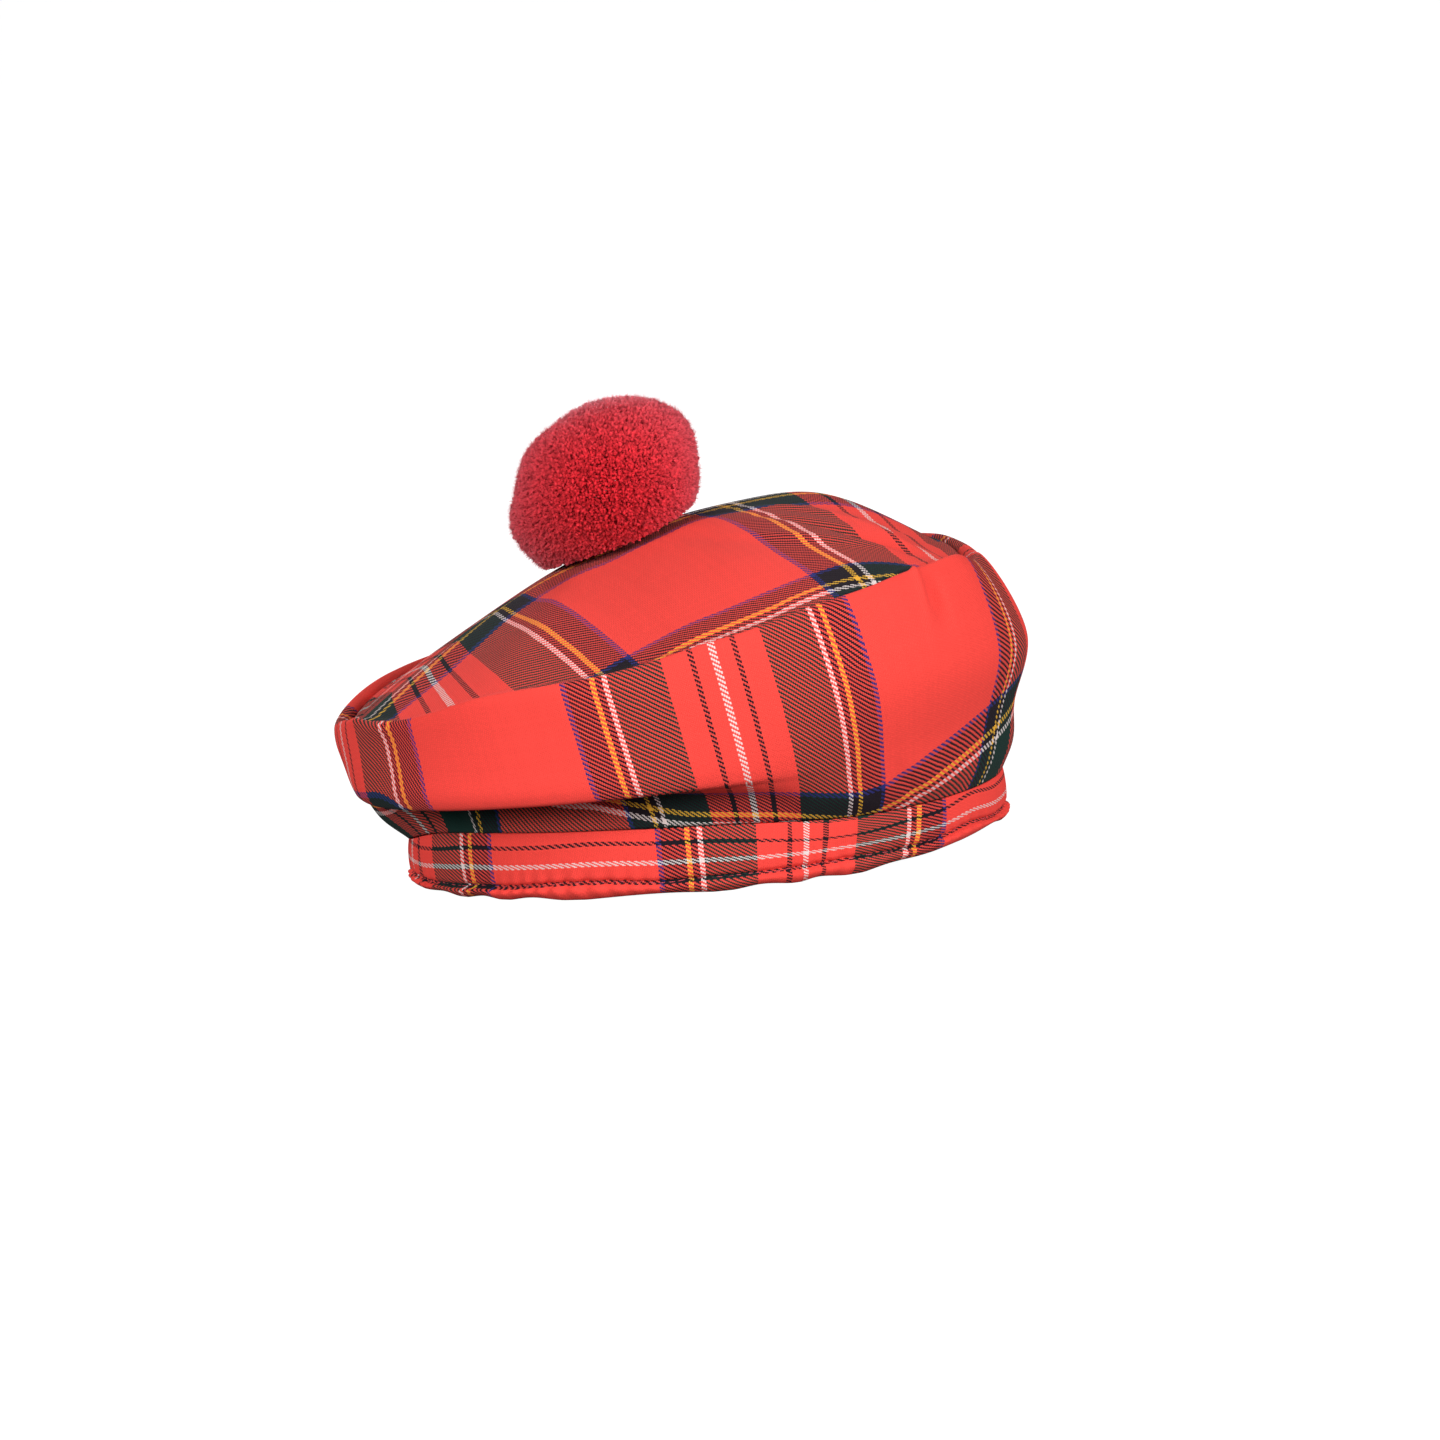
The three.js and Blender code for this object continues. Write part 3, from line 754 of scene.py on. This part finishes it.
band_half = (BAND_WALL / 2 + band_bulge) * np.maximum(foot_round, FOOT_LEAST)
band_faces = [
    np.concatenate((
        oval(band_turn, -BAND_WALL / 2 + side * band_half),
        (band_foot + band_height + foot_wave * (1 - hem_share))[..., None]), -1)
    for side in (1, -1)]
# The pattern runs between the three lines in step with their heights
over_white = band_height - white_up
band_pattern = BLACK_LINE * np.where(
    over_white < 0, over_white / (white_up - hem_up), over_white / (black_up - white_up))
white_pinch = WHITE_PINCH * (1 - np.exp(-abs(band_pattern) / WHITE_PINCH))
band_pattern = band_pattern + np.sign(band_pattern) * white_pinch
band_slip = (
    round_turn(BAND_LEAN, band_turn) * (white_up - band_height)
    + round_turn(HEM_SLIP, band_turn, 4) / 1000 * growing(hem_up - band_height, 0, HEM_EASE))
band_cloth = np.stack((band_round + band_slip, band_pattern), -1)
headband = cloth_piece(
    "headband_cloth", np.concatenate((band_faces[0], band_faces[1][::-1])),
    np.concatenate((band_cloth, band_cloth[::-1])))
headband.data.materials.append(tartan)
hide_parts("headband")
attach(headband, "root")


# Topstitch
# One line of pinkish-red thread that holds the hem, in the groove all round the band. Each stitch
# is a short bar of thread that sinks into the cloth at both ends.
STITCH_STEP = 0.0031
STITCH_LONG = 0.0027
STITCH_THICK = 0.00017
STITCH_OUT = 0.000168
STITCH_SIDES = 6
STITCH_STATIONS = 7
STITCH_BOW = 0.00022
STITCH_BLUNT = 0.6
STITCH_FULL = 0.4
STITCH_END = 0.001
STITCH_WANDER = 0.00012
GROOVE_EASE = 5

groove_row = np.argmin(abs(band_height - hem_up), 0)
groove = band_faces[0][groove_row, np.arange(BAND_TURNS + 1)]
groove_out = oval(band_turn, 0.001) - oval(band_turn, 0)
groove_out = unit(np.concatenate((groove_out, 0 * band_turn[:, None]), -1))
# The groove's line jumps from row to row of the band, so each point is averaged with its neighbours
groove_share = np.ones(GROOVE_EASE) / GROOVE_EASE
groove = np.stack([
    np.convolve(np.tile(way, 3), groove_share, "same")[len(way):2 * len(way)]
    for way in groove.T], -1)
groove_run = lengths(groove[None], 1)[0]
stitch_count = int(groove_run[-1] / STITCH_STEP)
stitch_start = np.arange(stitch_count) * groove_run[-1] / stitch_count
station = np.arange(STITCH_STATIONS) / (STITCH_STATIONS - 1)
stitch_run = stitch_start[:, None] + station * STITCH_LONG
stitch_line, stitch_way = (
    np.stack([np.interp(stitch_run, groove_run, way) for way in line.T], -1)
    for line in (groove, groove_out))
stitch_bow = np.sin(math.pi * station)
stitch_out = STITCH_OUT + STITCH_BOW * stitch_bow ** STITCH_BLUNT
stitch_line = stitch_line + stitch_way * stitch_out[:, None]
stitch_line[..., 2] += STITCH_WANDER * np.sin(stitch_run / STITCH_STEP)
stitch_round = np.arange(STITCH_SIDES) * 2 * math.pi / STITCH_SIDES
stitch_size = STITCH_THICK * np.maximum(stitch_bow, STITCH_END) ** STITCH_FULL
stitch_ring = (
    np.cos(stitch_round)[:, None] * stitch_way[:, :, None]
    + np.sin(stitch_round)[:, None] * np.array((0, 0, 1)))
stitch_points = stitch_line[:, :, None] + stitch_ring * stitch_size[:, None, None]
number = np.arange(STITCH_STATIONS * STITCH_SIDES).reshape(STITCH_STATIONS, STITCH_SIDES)
first_point = np.arange(stitch_count)[:, None, None] * number.size
stitch_faces = between(number, 0)[:-1].reshape(-1, 4) + first_point
stitch_caps = np.concatenate([cap + first_point[:, 0] for cap in (number[0], number[-1][::-1])])
topstitch = smooth_piece(
    "topstitch", stitch_points, stitch_faces.reshape(-1, 4).tolist() + stitch_caps.tolist())

thread = new_paint("stitching_thread", {"Roughness": 0.6, "Specular IOR Level": 0.3})
thread_tree = thread.node_tree
thread_place = add_node(thread_tree, "TexCoord", {})
thread_ply = add_node(
    thread_tree, "TexWave", {"Vector": thread_place.outputs["Object"], "Scale": 900, "Distortion": 2},
    bands_direction="DIAGONAL").outputs["Fac"]
# The ply bands lift the bump and lighten the thread's own pinkish red together, so the grooves between
# plies are painted darker: painted shade
thread_shade = add_node(thread_tree, "ValToRGB", {0: thread_ply})
thread_shade.color_ramp.elements[0].color = (0.30, 0.015, 0.03, 1)
thread_shade.color_ramp.elements[1].color = (0.62, 0.09, 0.11, 1)
thread_bump = add_node(
    thread_tree, "Bump", {"Height": thread_ply, "Strength": 0.5, "Distance": 0.0001})
feed(thread_tree.nodes["Principled BSDF"], {
    "Base Color": thread_shade.outputs[0],
    "Normal": thread_bump.outputs["Normal"],
})
topstitch.data.materials.append(thread)
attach(topstitch, "root")


# Crown seam
# The line of stitches that joins the ring to the disc. It lies sunk between their two turned
# edges, so that only a dark line of it shows.
SEAM_THREAD_WIDE = 0.00060
SEAM_THREAD_TALL = 0.00045
SEAM_SIDES = 8
SEAM_STITCH = 0.0024
SEAM_UNEVEN = 0.12

seam_turn = full_turn(DISC_TURNS)[:-1]
seam_line = stand(seam_turn, (rolled(seam_turn, 90, 1) + rolled(seam_turn, 90, -1)) / 2)
seam_out = seam_line[:, :2] - BAND_MIDDLE
seam_out = unit(np.concatenate((seam_out, 0 * seam_turn[:, None]), -1))
seam_side = np.arange(SEAM_SIDES) * 2 * math.pi / SEAM_SIDES
seam_swell = 1 + SEAM_UNEVEN * np.cos(2 * math.pi * lengths(seam_line, 0) / SEAM_STITCH)
seam_points = seam_line[:, None] + seam_swell[:, None, None] * (
    SEAM_THREAD_WIDE * np.cos(seam_side)[:, None] * seam_out[:, None]
    + SEAM_THREAD_TALL * np.sin(seam_side)[:, None] * np.array((0, 0, 1)))
number = np.arange(DISC_TURNS * SEAM_SIDES).reshape(DISC_TURNS, SEAM_SIDES)
crown_seam = smooth_piece("crown_seam", seam_points, between(number, 0).reshape(-1, 4).tolist())
crown_seam.data.materials.append(thread)
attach(crown_seam, "root")


# Pompom
# A ball of crimson wool yarn, wound, tied and cut, so that thousands of tips stand out from
# its middle. It is sewn down to the crown, and the yarn round its foot is pressed flat.
POMPOM_LONG = 0.0675
POMPOM_DEEP = 0.062
POMPOM_SHORT = 0.0535
POMPOM_LEAN = math.radians(38)
POMPOM_PLACE = np.array((-0.0023, 0, 0.0182))
TUFT_COUNT = 19000
TUFT_SIDES = 3
TUFT_THICK = 0.00075
TUFT_ROOT = 0.74
TUFT_STANDS = 0.0001
TUFT_UNEVEN = 0.00028
TUFT_BEND = 0.0005
# Shares of a tuft's length at which its two hoops stand
TUFT_HOOPS = (0.80, 0.965)
TUFT_WIDTHS = (0.75, 1.15)
TUFT_TAPER = 0.78
LUMP_DEEP = 0.0007
LUMP_WAVES = 12
LUMP_QUICK = 5
LUMP_SHARE = 0.29
CLUMP_CLEFT = 0.0012
CLUMP_WAVES = 24
CLUMP_QUICK = 34
CLEFT_WIDE = 0.9
PIT_SHARE = 0.03
PIT_DEEP = 0.0014
WAY_UNEVEN = 0.9
FUZZ_COUNT = 49000
FUZZ_THICK = 0.00009
FUZZ_LONG = 0.0026
FUZZ_SPREAD = 0.85
FUZZ_ROOT_OUT = 0.0002
FUZZ_LEAST = 0.3
FUZZ_FEW_LONG = 1.5
FUZZ_TONES = (0.5, 1)
FUZZ_FOOT_RISE = 0.6
SKIN = 0.0004
BASE_GAP = 0.0015
BASE_WIDE = 0.019
BASE_MOST = 1.2
chance = np.random.default_rng(7)

pompom_middle = disc_peak + POMPOM_PLACE
pompom_size = np.array((POMPOM_LONG, POMPOM_DEEP, POMPOM_SHORT)) / 2
pompom_turn = np.array((
    (math.cos(POMPOM_LEAN), 0, math.sin(POMPOM_LEAN)),
    (0, 1, 0),
    (-math.sin(POMPOM_LEAN), 0, math.cos(POMPOM_LEAN))))


def crown_under(points):
    """Height of the top disc under plan points: the fall and swell of the disc at their share
    of the way from its peak to the seam."""
    away = points[:, :2] - disc_peak[:2]
    bearing = np.arctan2(away[:, 1], away[:, 0])
    rim = disc_outer[DISC_ROWS - 1, :-1, :2] - disc_peak[:2]
    rim_bearing = np.arctan2(rim[:, 1], rim[:, 0])
    order = np.argsort(rim_bearing)

    def over_rim(values):
        """A value of the rim at each point's bearing, even between the rim's own points."""
        return np.interp(bearing, rim_bearing[order], values[order], period=2 * math.pi)

    rim_turn = np.radians(disc_turn[:-1])
    turn = np.degrees(np.arctan2(over_rim(np.sin(rim_turn)), over_rim(np.cos(rim_turn))))
    share = np.clip(np.hypot(*away.T) / over_rim(np.hypot(*rim.T)), 0, 1)
    fall = (CROWN_PEAK - section("seam_up", turn) * CROWN_RISE) * share ** CROWN_FALL
    return disc_peak[2] - fall + section("dome", turn) * CROWN_RISE * 4 * share * (1 - share)


def base_gap(points):
    """Gap kept over the crown: SKIN at the ball's foot, and growing as the square of the way out."""
    away = np.linalg.norm(points[:, :2] - pompom_middle[:2], axis=-1)
    return SKIN + BASE_GAP * np.clip(away / BASE_WIDE, 0, BASE_MOST) ** 2


def hoops(way, sides):
    """Circles of a few points and radius one, each round its own way and turned by chance."""
    guide = np.where(abs(way[:, 2:]) < 0.9, (0, 0, 1), (1, 0, 0))
    left = unit(np.cross(guide, way))
    ahead = np.cross(way, left)
    spin = np.arange(sides) * 2 * math.pi / sides + chance.uniform(0, math.pi, (len(way), 1))
    return np.cos(spin)[..., None] * left[:, None] + np.sin(spin)[..., None] * ahead[:, None]


def mark_points(piece, name, values):
    """Give each point of a piece a number under this name."""
    mark = piece.data.attributes.new(name, "FLOAT", "POINT")
    mark.data.foreach_set("value", values.astype(np.float32))


def strands(name, root, path, width, sides):
    """Closed strands: each is a point at its root, rings of a few sides along its path, and a
    point at its tip. path (strands, rings + 1, 3) ends at the tip, width (strands, rings)."""
    count, rings = width.shape
    circle = hoops(unit(path[:, -1] - root), sides)
    around = path[:, :-1, None] + circle[:, None] * width[..., None, None]
    points = np.concatenate((root[:, None], around.reshape(count, -1, 3), path[:, -1:]), 1)
    step = np.arange(sides)
    following = (step + 1) % sides
    tip = rings * sides + 1
    pattern = [np.stack((0 * step, 1 + following, 1 + step), -1)]
    for low in range(1, 1 + (rings - 1) * sides, sides):
        high = low + sides
        pattern.append(np.stack((low + step, low + following, high + following), -1))
        pattern.append(np.stack((low + step, high + following, high + step), -1))
    last = 1 + (rings - 1) * sides
    pattern.append(np.stack((last + step, last + following, np.full(sides, tip)), -1))
    pattern = np.concatenate(pattern)
    faces = pattern[None] + (np.arange(count) * points.shape[1])[:, None, None]
    piece = smooth_piece(name, points, faces.reshape(-1, 3).tolist())
    mark_points(piece, "tone", np.repeat(chance.uniform(0, 1, count), points.shape[1]))
    # Rise is nought at the root and one at the tip; the wool material uses it to paint shade towards the
    # root
    climb = np.concatenate(([0], np.repeat(np.arange(1, rings + 1) / (rings + 1), sides), [1]))
    mark_points(piece, "rise", np.tile(climb, count))
    return piece


def ball_ways(count):
    """Even directions on a sphere: heights step evenly and each turn adds the golden angle."""
    number = np.arange(count)
    rise = 1 - 2 * (number + 0.5) / count
    spin = number * math.pi * (3 - math.sqrt(5))
    level = np.sqrt(1 - rise ** 2)
    ways = np.stack((level * np.cos(spin), level * np.sin(spin), rise), -1)
    return unit(ways + chance.normal(0, WAY_UNEVEN / math.sqrt(count), ways.shape))


lump_ways = chance.normal(0, LUMP_QUICK, (LUMP_WAVES, 3))
lump_starts = chance.uniform(0, 2 * math.pi, LUMP_WAVES)
lump_shares = chance.normal(0, LUMP_SHARE, LUMP_WAVES)
clump_ways = chance.normal(0, CLUMP_QUICK, (CLUMP_WAVES, 3))
clump_starts = chance.uniform(0, 2 * math.pi, CLUMP_WAVES)


def ball_place(ways, reach):
    """Points at these directions on the leaning, lumpy ball; reach is in metres out of it. The
    lumps are a sum of slow waves. Quick waves part the yarn into clumps, with a cleft wherever
    their sum passes through nought."""
    lumps = (np.sin(ways @ lump_ways.T + lump_starts) * lump_shares).sum(-1)
    clumps = np.sin(ways @ clump_ways.T + clump_starts).sum(-1) / math.sqrt(CLUMP_WAVES / 2)
    clefts = np.clip(1 - abs(clumps) / CLEFT_WIDE, 0, 1) ** 2
    out = (reach + LUMP_DEEP * lumps - CLUMP_CLEFT * clefts)[:, None]
    return pompom_middle + (ways * pompom_size) @ pompom_turn + out * (ways @ pompom_turn)


tuft_way = ball_ways(TUFT_COUNT)
tuft_reach = TUFT_STANDS + chance.normal(0, TUFT_UNEVEN, TUFT_COUNT)
tuft_reach = tuft_reach - PIT_DEEP * (chance.uniform(0, 1, TUFT_COUNT) < PIT_SHARE)
tuft_tip = ball_place(tuft_way, tuft_reach)
tuft_tip = tuft_tip[tuft_tip[:, 2] > crown_under(tuft_tip) + base_gap(tuft_tip)]
tuft_root = pompom_middle + (tuft_tip - pompom_middle) * TUFT_ROOT
tuft_bend = chance.normal(0, TUFT_BEND, tuft_tip.shape)
tuft_path = np.stack((
    tuft_root + (tuft_tip - tuft_root) * TUFT_HOOPS[0] + tuft_bend,
    tuft_root + (tuft_tip - tuft_root) * TUFT_HOOPS[1] + tuft_bend / 2,
    tuft_tip), 1)
tuft_width = TUFT_THICK * chance.uniform(*TUFT_WIDTHS, (len(tuft_tip), 1)) * np.array((1, TUFT_TAPER))
pompom = strands("pompom_tufts", tuft_root, tuft_path, tuft_width, TUFT_SIDES)


def fuzz_layer(name, deep):
    """Short fibres that lean every way out of the tufts, each a three-sided spike on a closed
    foot, rooted between deep below the ball's surface and just over it."""
    way = ball_ways(FUZZ_COUNT)
    root = ball_place(way, chance.uniform(-deep, FUZZ_ROOT_OUT, FUZZ_COUNT))
    lean = unit(way @ pompom_turn + chance.normal(0, FUZZ_SPREAD, way.shape))
    reach = FUZZ_LONG * chance.uniform(FUZZ_LEAST, 1, FUZZ_COUNT) ** FUZZ_FEW_LONG
    tip = root + lean * reach[:, None]
    kept = np.minimum(tip[:, 2] - crown_under(tip), root[:, 2] - crown_under(root)) > base_gap(root)
    root, tip, lean = root[kept], tip[kept], lean[kept]
    foot = root[:, None] + FUZZ_THICK * hoops(lean, 3)
    points = np.concatenate((foot, tip[:, None]), 1)
    spike = np.array(((0, 2, 1), (0, 1, 3), (1, 2, 3), (2, 0, 3)))
    faces = spike + (np.arange(len(root)) * 4)[:, None, None]
    piece = smooth_piece(name, points, faces.reshape(-1, 3).tolist())
    mark_points(piece, "tone", np.repeat(chance.uniform(*FUZZ_TONES, len(root)), 4))
    # The fuzz feet get a rise short of one, so they take a little of the painted shade at the roots
    mark_points(piece, "rise", np.tile((*[FUZZ_FOOT_RISE] * 3, 1), len(root)))
    return piece


fuzz_near = fuzz_layer("pompom_fuzz", 0.0022)
fuzz_far = fuzz_layer("pompom_haze", 0.0014)

wool = new_paint("pompom_wool", {
    "Roughness": 0.95,
    "Specular IOR Level": 0.1,
    "Sheen Weight": 0.70,
    "Sheen Tint": (1, 0.42, 0.48, 1),
    "Sheen Roughness": 0.45,
})
wool_tree = wool.node_tree
tone = add_node(wool_tree, "Attribute", {}, attribute_name="tone")
rise = add_node(wool_tree, "Attribute", {}, attribute_name="rise")
wool_place = add_node(wool_tree, "TexCoord", {}).outputs["Object"]
shades = add_node(wool_tree, "ValToRGB", {0: tone.outputs["Fac"]})
shades.color_ramp.elements[0].color = (0.44, 0.006, 0.011, 1)
shades.color_ramp.elements[1].color = (0.66, 0.020, 0.031, 1)
# Each strand is painted darker towards its root, by its rise: painted shade for the shadow deep among the
# fibres; the fuzz feet take a little of it
depth = mixed(
    wool_tree, wire(wool_tree, "MULTIPLY", rise.outputs["Fac"], 1.5),
    (0.22, 0.003, 0.007, 1), shades.outputs[0], data_type="RGBA")
clump = add_node(wool_tree, "TexNoise", {"Vector": wool_place, "Scale": 260, "Detail": 3})
clump_light = wire(wool_tree, "MULTIPLY_ADD", clump.outputs["Fac"], 0.8, 0.66)
clumped = add_node(wool_tree, "HueSaturation", {"Value": clump_light, "Color": depth})
curl = add_node(wool_tree, "TexNoise", {"Vector": wool_place, "Scale": 3500, "Detail": 3})
wool_bump = add_node(
    wool_tree, "Bump", {"Height": curl.outputs["Fac"], "Strength": 0.8, "Distance": 0.0002})
# The fine fibres blur into one soft ball, so most of the light falls as on its round
from_middle = add_node(
    wool_tree, "VectorMath", {0: wool_place, 1: pompom_middle}, operation="SUBTRACT")
outward = add_node(
    wool_tree, "VectorTransform", {"Vector": from_middle.outputs["Vector"]},
    vector_type="NORMAL", convert_from="OBJECT", convert_to="WORLD").outputs["Vector"]
soft = add_node(
    wool_tree, "Mix", {"Factor": 0.32, "A": outward, "B": wool_bump.outputs["Normal"]},
    data_type="VECTOR")
# Towards its edge the base colour is mixed with a pale pink by how far it faces away: painted light,
# standing in for the light that comes through the loose fibres there
edge = add_node(wool_tree, "LayerWeight", {"Blend": 0.32, "Normal": outward})
painted_edge_light = mixed(
    wool_tree, wire(wool_tree, "MULTIPLY", edge.outputs["Facing"], 0.7),
    clumped.outputs["Color"], (0.95, 0.13, 0.17, 1), data_type="RGBA")
feed(wool_tree.nodes["Principled BSDF"], {"Base Color": painted_edge_light, "Normal": soft.outputs[1]})
for piece in (pompom, fuzz_near, fuzz_far):
    piece.data.materials.append(wool)
    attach(piece, "root")
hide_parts("pompom")
